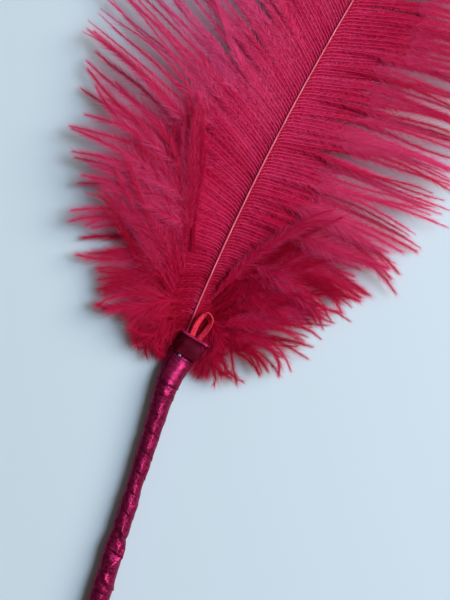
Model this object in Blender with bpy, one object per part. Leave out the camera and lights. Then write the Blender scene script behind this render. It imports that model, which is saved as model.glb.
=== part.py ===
"""Dyed ostrich plume with its quill bound into a ribbon-wrapped handle, lying down.

Metres, +Z up. The handle lies along +X, the plume's tip is at the +X end, and the plume curves
towards -Y. The origin is the middle of the whole part's footprint, on the surface it lies on.
While the pieces are modelled, X is measured from the collar and Y from the handle's axis.
"""

import math

import bmesh
import bpy
from mathutils import Matrix, Vector

# Driving dimensions
HANDLE_LENGTH = 0.150               # collar to butt
AXIS_HEIGHT = 0.0047                # handle axis above the surface
GAP = 0.0003                        # clearance between neighbouring pieces
QUILL_LENGTH = 0.078                # bare quill inside the wrapping
QUILL_RADIUS = 0.0018
CORE_RADIUS = 0.0032                # round stick that carries the lower handle
CORE_RECESS = 0.0025                # ribbon folded over the stick's butt end
RIBBON_PITCH = 0.008                # advance of one ribbon turn
RIBBON_STEP = 0.0004                # height of each overlapping ribbon edge
PLUME_START = 0.013                 # first barbs, from the collar
PLUME_LENGTH = 0.305                # shaft from the collar to its tip
SHAFT_OFFSET = -0.0008              # the shaft leaves the collar a little off the handle's axis
SHAFT_HEADING = math.radians(-4.5)
SHAFT_TURN = math.radians(-60)      # per metre of shaft: the plume's sideways curve
COLLAR_TILT = math.radians(-15)
COLLAR_CENTRE = Vector((0.0006, -0.0042, AXIS_HEIGHT))
COLLAR_SIZE = (0.0079, 0.0130, 0.0076)
COLLAR_WALL = 0.0007
LOOP_RIBBON = (0.0021, 0.0005)      # width and thickness of the small loop's ribbon
LOOP_STEPS = 36
BEAD_RADIUS = 0.0006
BEAD_PLACE = Vector((-0.0032, -0.0015, 0.0079))

# Heights above the surface and sizes along the plume, against the share of its length
SHAFT_HEIGHT = ((0.0, AXIS_HEIGHT), (0.35, 0.0150), (0.55, 0.0170), (0.8, 0.0130), (1.0, 0.0050))
SHAFT_RADIUS = ((0.0, 0.00105), (0.12, 0.0009), (0.5, 0.0007), (1.0, 0.0004))
BARB_LENGTH = ((0.0, 0.040), (0.1, 0.066), (0.28, 0.085), (0.6, 0.088), (0.85, 0.066), (1.0, 0.026))
ROOT_ANGLE = ((0.0, 98), (0.1, 72), (0.25, 64), (0.7, 58), (0.92, 40), (1.0, 0))
TIP_ANGLE = ((0.0, 146), (0.1, 114), (0.3, 88), (0.55, 74), (0.85, 60), (0.95, 40), (1.0, 0))
TOP_PROFILE = ((0.0, 0.0), (0.3, 0.0032), (0.65, 0.0012), (1.0, -0.0055))
RIM_THICKNESS = 0.0016
FLAT_SHARE = 0.72                   # share of each barb row that lies down on the surface
RIBS = 54                           # barb rows on each side of the plume solid
COLUMNS = 8                         # steps along a row
QUILL_STEPS = 8
SHAFT_STEPS = 44

# Outer radius of the wrapped handle, against the distance below the collar
WRAP_RADIUS = (
    (0.020, 0.0045), (0.025, 0.0041), (0.038, 0.0037), (0.056, 0.0033), (0.068, 0.0036),
    (0.077, 0.0036), (0.083, 0.0047), (0.091, 0.0041), (0.099, 0.0046), (0.106, 0.0043),
)
WRAP_SIDES = 16
RING_SPACING = 0.002


def read_table(value, table, eased=False):
    """Value read from (position, height) pairs, along straight or eased steps between them."""
    if value <= table[0][0]:
        return table[0][1]
    for (left, low), (right, high) in zip(table, table[1:]):
        if value <= right:
            part = (value - left) / (right - left)
            if eased:
                part = part * part * (3 - 2 * part)
            return low + (high - low) * part
    return table[-1][1]


def finish(name, bm, color, roughness, parent):
    """Makes a bmesh a named, shaded object with its own material, under the part's empty."""
    bmesh.ops.recalc_face_normals(bm, faces=bm.faces)
    mesh = bpy.data.meshes.new(name)
    bm.to_mesh(mesh)
    bm.free()
    mesh.shade_smooth()
    mesh.set_sharp_from_angle(angle=math.radians(40))
    material = bpy.data.materials.new(name)
    material.use_nodes = True
    shader = material.node_tree.nodes["Principled BSDF"]
    shader.inputs["Base Color"].default_value = (*color, 1)
    shader.inputs["Roughness"].default_value = roughness
    shader.inputs["Metallic"].default_value = 0
    mesh.materials.append(material)
    obj = bpy.data.objects.new(name, mesh)
    obj.parent = parent
    bpy.context.scene.collection.objects.link(obj)
    return obj


def extruded_body(stations, sides):
    """A closed body: a ring extruded from station to station, where station(angle) places a point."""
    bm = bmesh.new()
    bmesh.ops.create_circle(bm, segments=sides, radius=1)
    angles = {vert: math.atan2(vert.co.y, vert.co.x) for vert in bm.verts}
    for vert, angle in angles.items():
        vert.co = stations[0](angle)
    edges = bm.edges[:]
    for station in stations[1:]:
        made = bmesh.ops.extrude_edge_only(bm, edges=edges)["geom"]
        new_angles = {}
        for vert in (item for item in made if isinstance(item, bmesh.types.BMVert)):
            others = (edge.other_vert(vert) for edge in vert.link_edges)
            new_angles[vert] = next(angles[other] for other in others if other in angles)
            vert.co = station(new_angles[vert])
        angles = new_angles
        edges = [edge for edge in made if isinstance(edge, bmesh.types.BMEdge)
                 and all(vert in angles for vert in edge.verts)]
    bmesh.ops.holes_fill(bm, edges=bm.edges)
    return bm


def oval(centre, heading, half_width, half_height):
    """A station: an upright oval square to a level heading."""
    across = Vector((-math.sin(heading), math.cos(heading), 0))
    return lambda angle: (
        centre + across * half_width * math.cos(angle) + Vector((0, 0, half_height * math.sin(angle))))


def round_along(points, radii):
    """Stations for a round tube that follows points."""
    last = len(points) - 1
    stations = []
    for index, (point, radius) in enumerate(zip(points, radii)):
        ahead = points[min(index + 1, last)] - points[max(index - 1, 0)]
        turn = ahead.to_track_quat("Z", "Y").to_matrix()
        stations.append(lambda angle, point=point, radius=radius, turn=turn: (
            point + turn @ Vector((radius * math.cos(angle), radius * math.sin(angle), 0))))
    return stations


# The feather: quill, shaft and vane grown as one piece

def shaft_point(length):
    """Point on the shaft's centre line, a plain arc seen from above, length from the collar."""
    heading = SHAFT_HEADING + SHAFT_TURN * length / 2
    height = read_table(length / PLUME_LENGTH, SHAFT_HEIGHT, eased=True)
    across = SHAFT_OFFSET + length * math.sin(heading)
    return Vector((length * math.cos(heading), across, height))


def barb_row(share, side):
    """Points along one row of barbs, from the shaft to the tips; share runs 0 to 1 up the plume."""
    length = PLUME_START + share * (PLUME_LENGTH - PLUME_START)
    root = shaft_point(length)
    heading = SHAFT_HEADING + SHAFT_TURN * length
    start = math.radians(read_table(share, ROOT_ANGLE, eased=True))
    end = math.radians(read_table(share, TIP_ANGLE, eased=True))
    tufts = 1 + 0.03 * math.sin(75 * share + side) + 0.02 * math.sin(171 * share + 2 * side)
    if share == 1:
        tufts = 1
    step = read_table(share, BARB_LENGTH, eased=True) * tufts / COLUMNS
    arch = min(1.0, root.z / max(height for _, height in SHAFT_HEIGHT))
    points = []
    place = Vector((root.x, root.y))
    for column in range(COLUMNS + 1):
        along = column / COLUMNS
        rise = read_table(along, TOP_PROFILE, eased=True) * arch
        points.append(Vector((place.x, place.y, root.z + rise)))
        turn = heading + side * (start + (end - start) * (along + 0.5 / COLUMNS))
        place += step * Vector((math.cos(turn), math.sin(turn)))
    return points


def vane_body():
    """The vane as one pillow: its top follows the barbs, and its underside lies on the surface."""
    bm = bmesh.new()
    bmesh.ops.create_grid(bm, x_segments=RIBS, y_segments=2 * COLUMNS, size=1)
    lift = bm.verts.layers.float.new("lift")
    rows = {(rib, side): barb_row(rib / RIBS, side) for rib in range(RIBS + 1) for side in (1, -1)}
    for vert in bm.verts:
        rib = round((vert.co.x + 1) / 2 * RIBS)
        column = round(vert.co.y * COLUMNS)
        vert.co = rows[rib, 1 if column >= 0 else -1][abs(column)]
        vert[lift] = max(0.0, abs(column) / COLUMNS - FLAT_SHARE) / (1 - FLAT_SHARE)
    bmesh.ops.remove_doubles(bm, verts=bm.verts, dist=0.00002)
    made = bmesh.ops.extrude_face_region(bm, geom=bm.faces[:])["geom"]
    for vert in (item for item in made if isinstance(item, bmesh.types.BMVert)):
        vert.co.z = (vert.co.z - RIM_THICKNESS) * vert[lift] ** 2
    return bm


def build_feather(parent):
    """The vane joined to its shaft, whose lower end is the bare quill inside the handle."""
    bare = [step / QUILL_STEPS - 1 for step in range(QUILL_STEPS - 1)]
    points = [Vector((QUILL_LENGTH * share, 0, AXIS_HEIGHT)) for share in bare]
    radii = [QUILL_RADIUS * 0.75] + [QUILL_RADIUS] * (len(bare) - 2) + [QUILL_RADIUS * 0.8]
    for step in range(SHAFT_STEPS + 1):
        length = step * PLUME_LENGTH / SHAFT_STEPS
        points.append(shaft_point(length))
        radii.append(read_table(length / PLUME_LENGTH, SHAFT_RADIUS))
    dye = (0.46, 0.012, 0.07)
    shaft = finish("shaft_guide", extruded_body(round_along(points, radii), 8), dye, 0.5, parent)
    shaft.hide_render = True
    shaft.display_type = "WIRE"
    feather = finish("feather", vane_body(), dye, 0.7, parent)
    join = feather.modifiers.new("shaft", "BOOLEAN")
    join.operation = "UNION"
    join.object = shaft
    return feather


# The handle: a stick and the quill's end, bound together in satin ribbon

def build_handle_core(parent):
    """Round stick with eased ends that takes over where the quill stops."""
    start = -HANDLE_LENGTH + CORE_RECESS
    end = -QUILL_LENGTH - 0.0015
    ease = 0.0006
    places = ((start, CORE_RADIUS - ease), (start + ease, CORE_RADIUS), (end - ease, CORE_RADIUS),
              (end, CORE_RADIUS - ease))
    points = [Vector((along, 0, AXIS_HEIGHT)) for along, _ in places]
    bm = extruded_body(round_along(points, [radius for _, radius in places]), 16)
    return finish("handle_core", bm, (0.72, 0.55, 0.36), 0.6, parent)


def wound(below, radius):
    """A station on the straight handle: a circle that one ribbon edge, facing the butt, runs round."""
    def station(angle):
        turn = (angle / math.tau - below / RIBBON_PITCH) % 1
        reach = radius - RIBBON_STEP * turn
        return Vector((-below, reach * math.cos(angle), AXIS_HEIGHT + reach * math.sin(angle)))
    return station


FLARE = (   # place along and across, heading in degrees, half width, half height, from the handle up
    (-0.0160, -0.0001, -4, 0.0049, 0.0044), (-0.0120, -0.0004, -9, 0.0053, 0.0041),
    (-0.0080, -0.0012, -13, 0.0055, 0.0036), (-0.0050, -0.0024, -16, 0.0055, 0.0028),
    (0.0015, -0.0043, -16, 0.0055, 0.0027),
)
FLARE_WALL = 0.0006


def flare_station(row, wall):
    along, across, heading, half_width, half_height = row
    centre = Vector((along, across, AXIS_HEIGHT))
    return oval(centre, math.radians(heading), half_width - wall, half_height - wall)


def build_ribbon_wrap(parent):
    """Satin ribbon wound from the butt to the collar, widening over the loop's ends at the top."""
    stations = [
        oval(Vector((-HANDLE_LENGTH, 0, AXIS_HEIGHT)), 0, 0.0026, 0.0026),
        oval(Vector((-HANDLE_LENGTH + 0.0005, 0, AXIS_HEIGHT)), 0, 0.0036, 0.0036),
    ]
    top_ring = WRAP_RADIUS[0][0]
    rings = round((HANDLE_LENGTH - 0.0015 - top_ring) / RING_SPACING)
    for ring in range(rings, -1, -1):
        below = top_ring + ring * RING_SPACING
        stations.append(wound(below, read_table(below, WRAP_RADIUS)))
    stations += [flare_station(row, 0) for row in FLARE]
    stations += [flare_station(row, FLARE_WALL) for row in reversed(FLARE)]
    quill_bore = QUILL_RADIUS + GAP
    core_bore = CORE_RADIUS + GAP
    shoulder = -QUILL_LENGTH - 0.0008
    for along, radius in (
        (-0.022, quill_bore), (shoulder, quill_bore), (shoulder - 0.0002, core_bore),
        (-HANDLE_LENGTH + CORE_RECESS - GAP, core_bore),
    ):
        stations.append(oval(Vector((along, 0, AXIS_HEIGHT)), 0, radius, radius))
    return finish("ribbon_wrap", extruded_body(stations, WRAP_SIDES), (0.30, 0.004, 0.05), 0.35, parent)


def build_collar_band(parent):
    """Flat band of wide ribbon folded round the top of the handle, tilted with the plume."""
    height, width, depth = COLLAR_SIZE
    bm = bmesh.new()
    rim = bmesh.ops.create_circle(bm, segments=20, radius=1)["verts"]
    turn = Matrix.Rotation(COLLAR_TILT, 3, "Z")
    for vert in rim:
        angle = math.atan2(vert.co.y, vert.co.x)
        square = [math.copysign(abs(part) ** 0.4, part) for part in (math.cos(angle), math.sin(angle))]
        flat = Vector((-height / 2, square[0] * width / 2, square[1] * depth / 2))
        vert.co = COLLAR_CENTRE + turn @ flat
    edges = bm.edges[:]
    for _ in range(3):
        made = bmesh.ops.extrude_edge_only(bm, edges=edges)["geom"]
        moved = [item for item in made if isinstance(item, bmesh.types.BMVert)]
        edges = [item for item in made if isinstance(item, bmesh.types.BMEdge)]
        bmesh.ops.translate(bm, verts=moved, vec=turn @ Vector((height / 3, 0, 0)))
        new = set(moved)
        edges = [edge for edge in edges if set(edge.verts) <= new]
    band = finish("collar_band", bm, (0.09, 0.003, 0.012), 0.5, parent)
    wall = band.modifiers.new("ribbon", "SOLIDIFY")
    wall.thickness = COLLAR_WALL
    wall.offset = -1
    return band


LOOP_ROUTE = (  # centre line and the ribbon's twist in degrees: flat legs, on edge round the top
    ((0.0000, -0.0041, 0.0054), 0), ((0.0046, -0.0038, 0.0062), 0), ((0.0102, -0.0042, 0.0078), 10),
    ((0.0140, -0.0056, 0.0090), 40), ((0.0156, -0.0074, 0.0095), 70), ((0.0136, -0.0093, 0.0092), 60),
    ((0.0098, -0.0087, 0.0082), 25), ((0.0050, -0.0070, 0.0064), 5), ((0.0002, -0.0066, 0.0054), 0),
)


def spline_point(points, place):
    """Catmull-Rom point through the route, place counted in route points."""
    index = min(int(place), len(points) - 2)
    part = place - index
    before, here, there, after = (
        points[min(max(near, 0), len(points) - 1)] for near in range(index - 1, index + 3))
    return 0.5 * (2 * here + (there - before) * part + (2 * before - 5 * here + 4 * there - after)
                  * part ** 2 + (3 * here - before - 3 * there + after) * part ** 3)


def build_ribbon_loop(parent):
    """Small loop of narrow ribbon, its two ends glued inside the collar."""
    width, thickness = LOOP_RIBBON
    route = [Vector((*point, math.radians(twist))) for point, twist in LOOP_ROUTE]
    count = LOOP_STEPS
    path = [spline_point(route, step * (len(route) - 1) / count) for step in range(count + 1)]
    stations = []
    for index, place in enumerate(path):
        ahead = (path[min(index + 1, count)] - path[max(index - 1, 0)]).xyz.normalized()
        level = Vector((0, 0, 1)).cross(ahead).normalized()
        upright = ahead.cross(level)
        wide = level * math.cos(place.w) + upright * math.sin(place.w)
        thin = ahead.cross(wide)
        stations.append(lambda angle, centre=place.xyz, wide=wide, thin=thin: (
            centre + wide * math.copysign(width / 2, math.cos(angle + math.pi / 4))
            + thin * math.copysign(thickness / 2, math.sin(angle + math.pi / 4))))
    return finish("ribbon_loop", extruded_body(stations, 4), (0.85, 0.02, 0.045), 0.35, parent)


def build_glue_bead(parent):
    """Drop of clear glue squeezed out under the collar's lower edge."""
    bm = bmesh.new()
    bmesh.ops.create_icosphere(bm, subdivisions=2, radius=BEAD_RADIUS)
    bmesh.ops.scale(bm, vec=(0.8, 1.2, 0.6), verts=bm.verts)
    bmesh.ops.rotate(bm, matrix=Matrix.Rotation(COLLAR_TILT, 3, "Z"), verts=bm.verts)
    bmesh.ops.translate(bm, vec=BEAD_PLACE, verts=bm.verts)
    return finish("glue_bead", bm, (0.75, 0.82, 0.9), 0.1, parent)


def centre_footprint(parent, pieces):
    """Moves the empty so that the origin is the middle of the footprint."""
    bpy.context.view_layer.update()
    graph = bpy.context.evaluated_depsgraph_get()
    corners = []
    for piece in pieces:
        evaluated = piece.evaluated_get(graph)
        corners += [evaluated.matrix_world @ Vector(corner) for corner in evaluated.bound_box]
    for axis in (0, 1):
        values = [corner[axis] for corner in corners]
        parent.location[axis] = -(min(values) + max(values)) / 2


def main():
    for obj in list(bpy.data.objects):
        bpy.data.objects.remove(obj)
    part = bpy.data.objects.new("ostrich_feather", None)
    bpy.context.scene.collection.objects.link(part)
    builders = (build_feather, build_handle_core, build_ribbon_wrap, build_collar_band,
                build_ribbon_loop, build_glue_bead)
    centre_footprint(part, [build(part) for build in builders])


main()
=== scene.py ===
"""Looks of a dyed ostrich plume whose quill is bound into a ribbon-wrapped handle, lying down."""

import math

import bmesh
import bpy
import numpy as np
from mathutils import Matrix, Vector


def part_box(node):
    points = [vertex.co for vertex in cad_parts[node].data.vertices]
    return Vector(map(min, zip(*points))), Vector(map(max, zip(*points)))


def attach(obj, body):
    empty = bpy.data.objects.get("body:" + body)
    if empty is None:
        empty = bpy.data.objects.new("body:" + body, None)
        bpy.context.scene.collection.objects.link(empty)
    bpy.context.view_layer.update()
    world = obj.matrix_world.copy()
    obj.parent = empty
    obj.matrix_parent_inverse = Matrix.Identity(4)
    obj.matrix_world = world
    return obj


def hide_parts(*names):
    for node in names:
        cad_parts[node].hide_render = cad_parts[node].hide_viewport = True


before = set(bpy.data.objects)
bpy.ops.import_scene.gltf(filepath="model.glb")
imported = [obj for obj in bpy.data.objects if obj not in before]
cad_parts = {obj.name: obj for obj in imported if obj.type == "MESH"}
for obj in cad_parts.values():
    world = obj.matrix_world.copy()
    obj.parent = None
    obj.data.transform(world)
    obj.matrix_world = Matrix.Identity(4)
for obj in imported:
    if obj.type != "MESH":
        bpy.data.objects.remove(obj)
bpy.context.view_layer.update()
lengthwise = Vector((1, 0, 0))
upright = Vector((0, 0, 1))


# The shaft ------------------------------------------------------------------------------------
# The plume's shaft is horn, dyed with the barbs but paler, and it thins from the collar to the
# tip. It grew as one piece with the bare quill that is bound inside the handle.

HANDLE_LENGTH = 0.150
axis = sum(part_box("handle_core"), Vector()) / 2
collar = Vector((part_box("ribbon_wrap")[0].x + HANDLE_LENGTH, axis.y, axis.z))

SHAFT_LENGTH = 0.305
SHAFT_OFFSET = -0.0008              # it leaves the collar a little off the handle's axis
SHAFT_HEADING = math.radians(-4.5)
SHAFT_TURN = math.radians(-60)      # per metre: the plume's sideways curve
SHAFT_HEIGHT = ((0.0, axis.z), (0.35, 0.0150), (0.55, 0.0170), (0.8, 0.0130), (1.0, 0.0050))
SHAFT_RADIUS = ((0.0, 0.00044), (0.12, 0.00032), (0.5, 0.00030), (1.0, 0.00016))
SHAFT_PROUD = 0.0005                # the shaft stands this far above the barbs' roots
SHAFT_START = 0.004
SHAFT_STATIONS = 90
SHAFT_SIDES = 12
QUILL_LENGTH = 0.078
QUILL_RADIUS = 0.0016
QUILL_STEPS = 8
QUILL_END = 0.75                    # share of its radius that is left at the quill's closed end


def eased(value, table):
    """Values read from (position, height) pairs, with an eased step between each two."""
    places, heights = np.array(table).T
    index = np.clip(np.searchsorted(places, value, side="right") - 1, 0, len(places) - 2)
    part = np.clip((value - places[index]) / (places[index + 1] - places[index]), 0, 1)
    part = part * part * (3 - 2 * part)
    return heights[index] + (heights[index + 1] - heights[index]) * part


def shaft_points(length):
    """Points on the shaft's centre line, against the length from the collar."""
    heading = SHAFT_HEADING + SHAFT_TURN * length / 2
    return np.stack([
        collar.x + length * np.cos(heading),
        collar.y + SHAFT_OFFSET + length * np.sin(heading),
        eased(length / SHAFT_LENGTH, SHAFT_HEIGHT),
    ], axis=-1)


def principled(name, roughness, **values):
    """A material with one Principled shader, whose uniform values are set on its own sockets."""
    material = bpy.data.materials.new(name)
    material.use_nodes = True
    shader = material.node_tree.nodes["Principled BSDF"]
    shader.inputs["Roughness"].default_value = roughness
    for socket, value in values.items():
        shader.inputs[socket.replace("_", " ")].default_value = value
    return material, material.node_tree, shader


def add_node(tree, kind, **settings):
    """A node with its own settings, in small letters, and the values of its inputs, in capitals."""
    node = tree.nodes.new(kind)
    for name, value in settings.items():
        if hasattr(node, name):
            setattr(node, name, value)
        else:
            node.inputs[name.replace("_", " ")].default_value = value
    return node


def color_ramp(tree, value, *stops):
    """The colour that a value picks between stops, each a position and a colour."""
    ramp = add_node(tree, "ShaderNodeValToRGB")
    elements = ramp.color_ramp.elements
    for position, _ in stops[1:-1]:
        elements.new(position)
    for element, (position, color) in zip(elements, stops):
        element.position = position
        element.color = (*color, 1)
    tree.links.new(value, ramp.inputs["Fac"])
    return ramp.outputs["Color"]


def color_mix(tree, factor, first, second):
    """Two colours mixed by a factor; each is a plain colour or another node's output."""
    mix = add_node(tree, "ShaderNodeMix", data_type="RGBA")
    tree.links.new(factor, mix.inputs["Factor"])
    for name, color in (("A", first), ("B", second)):
        if isinstance(color, tuple):
            mix.inputs[name].default_value = (*color, 1)
        else:
            tree.links.new(color, mix.inputs[name])
    return next(out for out in mix.outputs if out.type == "RGBA")


def node_group(name, inputs, outputs):
    """An empty node group with sockets of the given names and kinds, and its two ends."""
    group = bpy.data.node_groups.new(name, "ShaderNodeTree")
    for way, sockets in (("INPUT", inputs), ("OUTPUT", outputs)):
        for socket, kind in sockets.items():
            group.interface.new_socket(socket, in_out=way, socket_type=f"NodeSocket{kind}")
    return group, add_node(group, "NodeGroupInput"), add_node(group, "NodeGroupOutput")


def grown_grain():
    """A node group: noise on the object's own coordinates, with so many cells a metre each way."""
    group, inside, outside = node_group(
        "grown grain", {"Cells": "Vector", "Turn": "Vector", "Detail": "Float"}, {"Grain": "Float"})
    where = add_node(group, "ShaderNodeTexCoord")
    stretch = add_node(group, "ShaderNodeMapping")
    noise = add_node(group, "ShaderNodeTexNoise", Scale=1.0)
    group.links.new(where.outputs["Object"], stretch.inputs["Vector"])
    group.links.new(inside.outputs["Turn"], stretch.inputs["Rotation"])
    group.links.new(inside.outputs["Cells"], stretch.inputs["Scale"])
    group.links.new(stretch.outputs[0], noise.inputs["Vector"])
    group.links.new(inside.outputs["Detail"], noise.inputs["Detail"])
    group.links.new(noise.outputs[0], outside.inputs["Grain"])
    return group


def drawn_out(stations, sides, closed=True):
    """A skin: a circle extruded from station to station, where station(angle) places a point."""
    bm = bmesh.new()
    bmesh.ops.create_circle(bm, segments=sides, radius=1)
    angles = {vert: math.atan2(vert.co.y, vert.co.x) for vert in bm.verts}
    for vert, angle in angles.items():
        vert.co = stations[0](angle)
    edges = bm.edges[:]
    for station in stations[1:]:
        made = bmesh.ops.extrude_edge_only(bm, edges=edges)["geom"]
        new_angles = {}
        for vert in (item for item in made if isinstance(item, bmesh.types.BMVert)):
            others = (edge.other_vert(vert) for edge in vert.link_edges)
            new_angles[vert] = next(angles[other] for other in others if other in angles)
            vert.co = station(new_angles[vert])
        angles = new_angles
        edges = [edge for edge in made if isinstance(edge, bmesh.types.BMEdge)
                 and all(vert in angles for vert in edge.verts)]
    if closed:
        bmesh.ops.holes_fill(bm, edges=bm.edges)
    bmesh.ops.recalc_face_normals(bm, faces=bm.faces)
    return bm


def round_station(point, ahead, radius, flattened=1.0):
    """A station square to the direction ahead; flattened squeezes its lower half."""
    turn = Vector(ahead).to_track_quat("X", "Z").to_matrix()

    def station(angle):
        height = math.sin(angle) * (flattened if angle < 0 else 1)
        return Vector(point) + turn @ Vector((0, radius * math.cos(angle), radius * height))
    return station


def shaded_mesh(name, bm, sharp=40):
    mesh = bpy.data.meshes.new(name)
    bm.to_mesh(mesh)
    bm.free()
    mesh.shade_smooth()
    mesh.set_sharp_from_angle(angle=math.radians(sharp))
    return mesh


def make_piece(name, mesh, material, slot, *nodes):
    """Links a finished mesh as a piece that rides on the part's one body and stands for CAD nodes."""
    mesh.materials.append(material)
    piece = bpy.data.objects.new(name, mesh)
    bpy.context.scene.collection.objects.link(piece)
    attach(piece, "root")
    if nodes:
        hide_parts(*nodes)
    return piece


def shaft_mesh():
    """The bare quill inside the handle, and from the collar the bared shaft above the barbs' roots."""
    stations = []
    for step in range(QUILL_STEPS - 1):
        place = collar + lengthwise * (step / QUILL_STEPS - 1) * QUILL_LENGTH
        stations.append(round_station(place, lengthwise, QUILL_RADIUS * (QUILL_END if step == 0 else 1)))
    lengths = np.linspace(SHAFT_START, SHAFT_LENGTH, SHAFT_STATIONS)
    points = shaft_points(lengths) + np.array((0, 0, SHAFT_PROUD))
    ahead = np.gradient(points, axis=0)
    for length, point, direction in zip(lengths, points, ahead):
        radius = float(eased(length / SHAFT_LENGTH, SHAFT_RADIUS))
        stations.append(round_station(point, direction, radius, 0.6))
    return shaded_mesh("shaft", drawn_out(stations, SHAFT_SIDES), 60)


grain_group = grown_grain()


def horn_material():
    """Dyed horn: pale rose with darker lengthwise streaks, and a soft gloss."""
    material, tree, shader = principled("dyed_horn", 0.38, Specular_IOR_Level=0.35)
    streaks = add_node(tree, "ShaderNodeGroup", node_tree=grain_group, Cells=(60, 2600, 900),
                       Turn=(0, 0, 0.18), Detail=3.0)
    streaked = color_ramp(tree, streaks.outputs["Grain"], (0.3, (0.54, 0.040, 0.095)),
                          (0.7, (0.84, 0.19, 0.29)))
    # Near the collar it is painted darker: painted shade where it sinks between the barbs' roots.
    where = add_node(tree, "ShaderNodeTexCoord")
    place = add_node(tree, "ShaderNodeSeparateXYZ")
    tree.links.new(where.outputs["Object"], place.inputs[0])
    bared = add_node(tree, "ShaderNodeMapRange", From_Min=collar.x + 0.010, From_Max=collar.x + 0.024)
    tree.links.new(place.outputs["X"], bared.inputs["Value"])
    color = color_mix(tree, bared.outputs[0], (0.30, 0.006, 0.030), streaked)
    tree.links.new(color, shader.inputs["Base Color"])
    return material


make_piece("shaft", shaft_mesh(), horn_material(), "dyed_feather", "feather")


# Barbs ----------------------------------------------------------------------------------------
# Several hundred soft barbs grow from both edges of the shaft, each fringed on both sides with
# fine barbules. They gather in tufts towards the plume's edge, and near the collar they fan back.

PLUME_START = 0.008
BARBS_A_SIDE = 212
BARB_CROWDING = 1.15                # over 1, barbs stand closer together near the collar
BARB_STEPS = 15
STEP_GROWTH = 1.5                   # a barb's steps are short at its knee and longer outwards
KNEE_ANGLE = 34                     # a barb leaves the shaft at this angle and bends over at its knee
KNEE_LENGTH = 0.006
# Against the share of the shaft, for the left side (1) and the right side (-1). Angles are in
# degrees from the shaft's direction, past the knee and at the tip.
BARB_LENGTH = {
    1: ((0.0, 0.021), (0.045, 0.043), (0.12, 0.063), (0.17, 0.083), (0.23, 0.105), (0.6, 0.103),
        (0.85, 0.066), (1.0, 0.028)),
    -1: ((0.0, 0.016), (0.045, 0.034), (0.12, 0.059), (0.18, 0.072), (0.23, 0.083), (0.6, 0.090),
         (0.85, 0.066), (1.0, 0.028))}
BARB_ANGLE = {
    1: ((0.0, 122), (0.045, 114), (0.12, 92), (0.17, 75), (0.23, 65), (0.41, 57), (0.7, 52),
        (0.92, 36), (1.0, 4)),
    -1: ((0.0, 104), (0.045, 94), (0.12, 86), (0.18, 82), (0.27, 73), (0.41, 66), (0.7, 56),
         (0.92, 38), (1.0, 4))}
TIP_ANGLE = {
    1: ((0.0, 150), (0.045, 134), (0.12, 108), (0.17, 87), (0.23, 74), (0.41, 68), (0.7, 62),
        (0.92, 42), (1.0, 8)),
    -1: ((0.0, 150), (0.045, 112), (0.12, 104), (0.18, 98), (0.27, 90), (0.41, 82), (0.7, 70),
         (0.92, 44), (1.0, 8))}
# Tone, from 0 (crimson) to 1 (pink): the dye's depth, deepest near the collar partly as painted
# shade, and how the barbs' outer part changes: painted light, paler on the left away from the
# window and darker on the right towards it.
BARB_TONE = ((0.0, 0.14), (0.05, 0.26), (0.12, 0.50), (0.3, 0.62), (1.0, 0.62))
OUTER_PAINTED_LIGHT = {1: 0.44, -1: -0.20}
BARB_TONE_SCATTER = 0.04
TUFT_BREAK = 0.36                   # chance that a barb starts a new tuft
TUFT_PULL = {1: 0.34, -1: 0.46}     # how far a tuft's tips are drawn together
PULL_ALONG = ((0.35, 0.0), (1.0, 1.0))
TUFT_TURN_SCATTER = 1.2             # degrees at the tip
TUFT_SIZE_SCATTER = 0.035
TUFT_LAYERS = 1.2                   # tufts lie up to this many layers over or under the others
TUFT_TONE_SCATTER = 0.12
VANE_REACH = 0.080                  # shaft to edge, level, where the plume is widest
VANE_RISE = ((0.0, -0.0006), (0.3, 0.0022), (0.65, 0.0004), (1.0, -0.0065), (1.3, -0.0100))
IN_THE_VANE = ((0.0, 0.0), (0.15, 0.0003), (0.35, 0.0012), (0.6, 0.0030), (1.0, 0.0036))
OVER_THE_VANE = ((0.0, -0.0008), (0.14, -0.0006), (0.32, 0.0016), (1.0, 0.0028))
SETTLING = ((0.0, 0.0), (0.12, 1.0))    # share of a barb in which it reaches the vane's height
LOWEST_BARB = 0.0010                # height of a barb's line where it lies on the surface
STEM_RADIUS = ((0.0, 0.00024), (0.35, 0.00013), (0.7, 0.00007), (1.0, 0.00002))
# A stem's paler tone is partly its own colour and partly painted sheen on its raised ridge.
STEM_PALER_WITH_SHEEN = 0.32                   # a stem is this much paler than its barb's fringes at the root
STEM_DEEPENS = 0.25                 # and loses this much of it towards the tip
# Fringes of barbules, each from low to high along its barb. Length goes with the share of the barb;
# slant from the barb is at the near and the far end and lift is a mean and its scatter, in degrees;
# shade is the change of tone for the whole barbule and, on top, for its tip: painted shade darkens
# the roots, which lie in shade between the barbs, and painted light makes the tips paler.
ROOT_FRINGE = {
    "low": 0.0, "high": 0.07, "length": ((0.0, 0.0013), (0.07, 0.0017)), "slant": (64, 50),
    "lift": (-20, 10), "half_width": 0.00034, "shade": (-0.18, 0.10), "thinning": 1.0}
NEAR_FRINGE = {
    "low": 0.04, "high": 0.42, "length": ((0.0, 0.0021), (0.42, 0.0040)), "slant": (42, 24),
    "lift": (-16, 9), "half_width": 0.00021, "shade": (-0.13, 0.14), "thinning": 1.0}
PRESSED_FRINGE = {
    "low": 0.30, "high": 1.0, "length": ((0.2, 0.0022), (0.5, 0.0032), (0.85, 0.0026), (1.0, 0.0008)),
    "slant": (24, 9), "lift": (0, 18), "half_width": 0.000080, "shade": (-0.08, 0.22), "thinning": 1.4}
LOOSE_FRINGE = {
    "low": 0.34, "high": 0.985,
    "length": ((0.2, 0.0036), (0.5, 0.0076), (0.82, 0.0072), (1.0, 0.0036)),
    "slant": (38, 15), "lift": (2, 20), "half_width": 0.000058, "shade": (0.06, 0.34)}
FULL_CROWDING = 0.8                 # share of a mesh's density that each fringe has
PRESSED_CROWDING = 0.5
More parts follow.
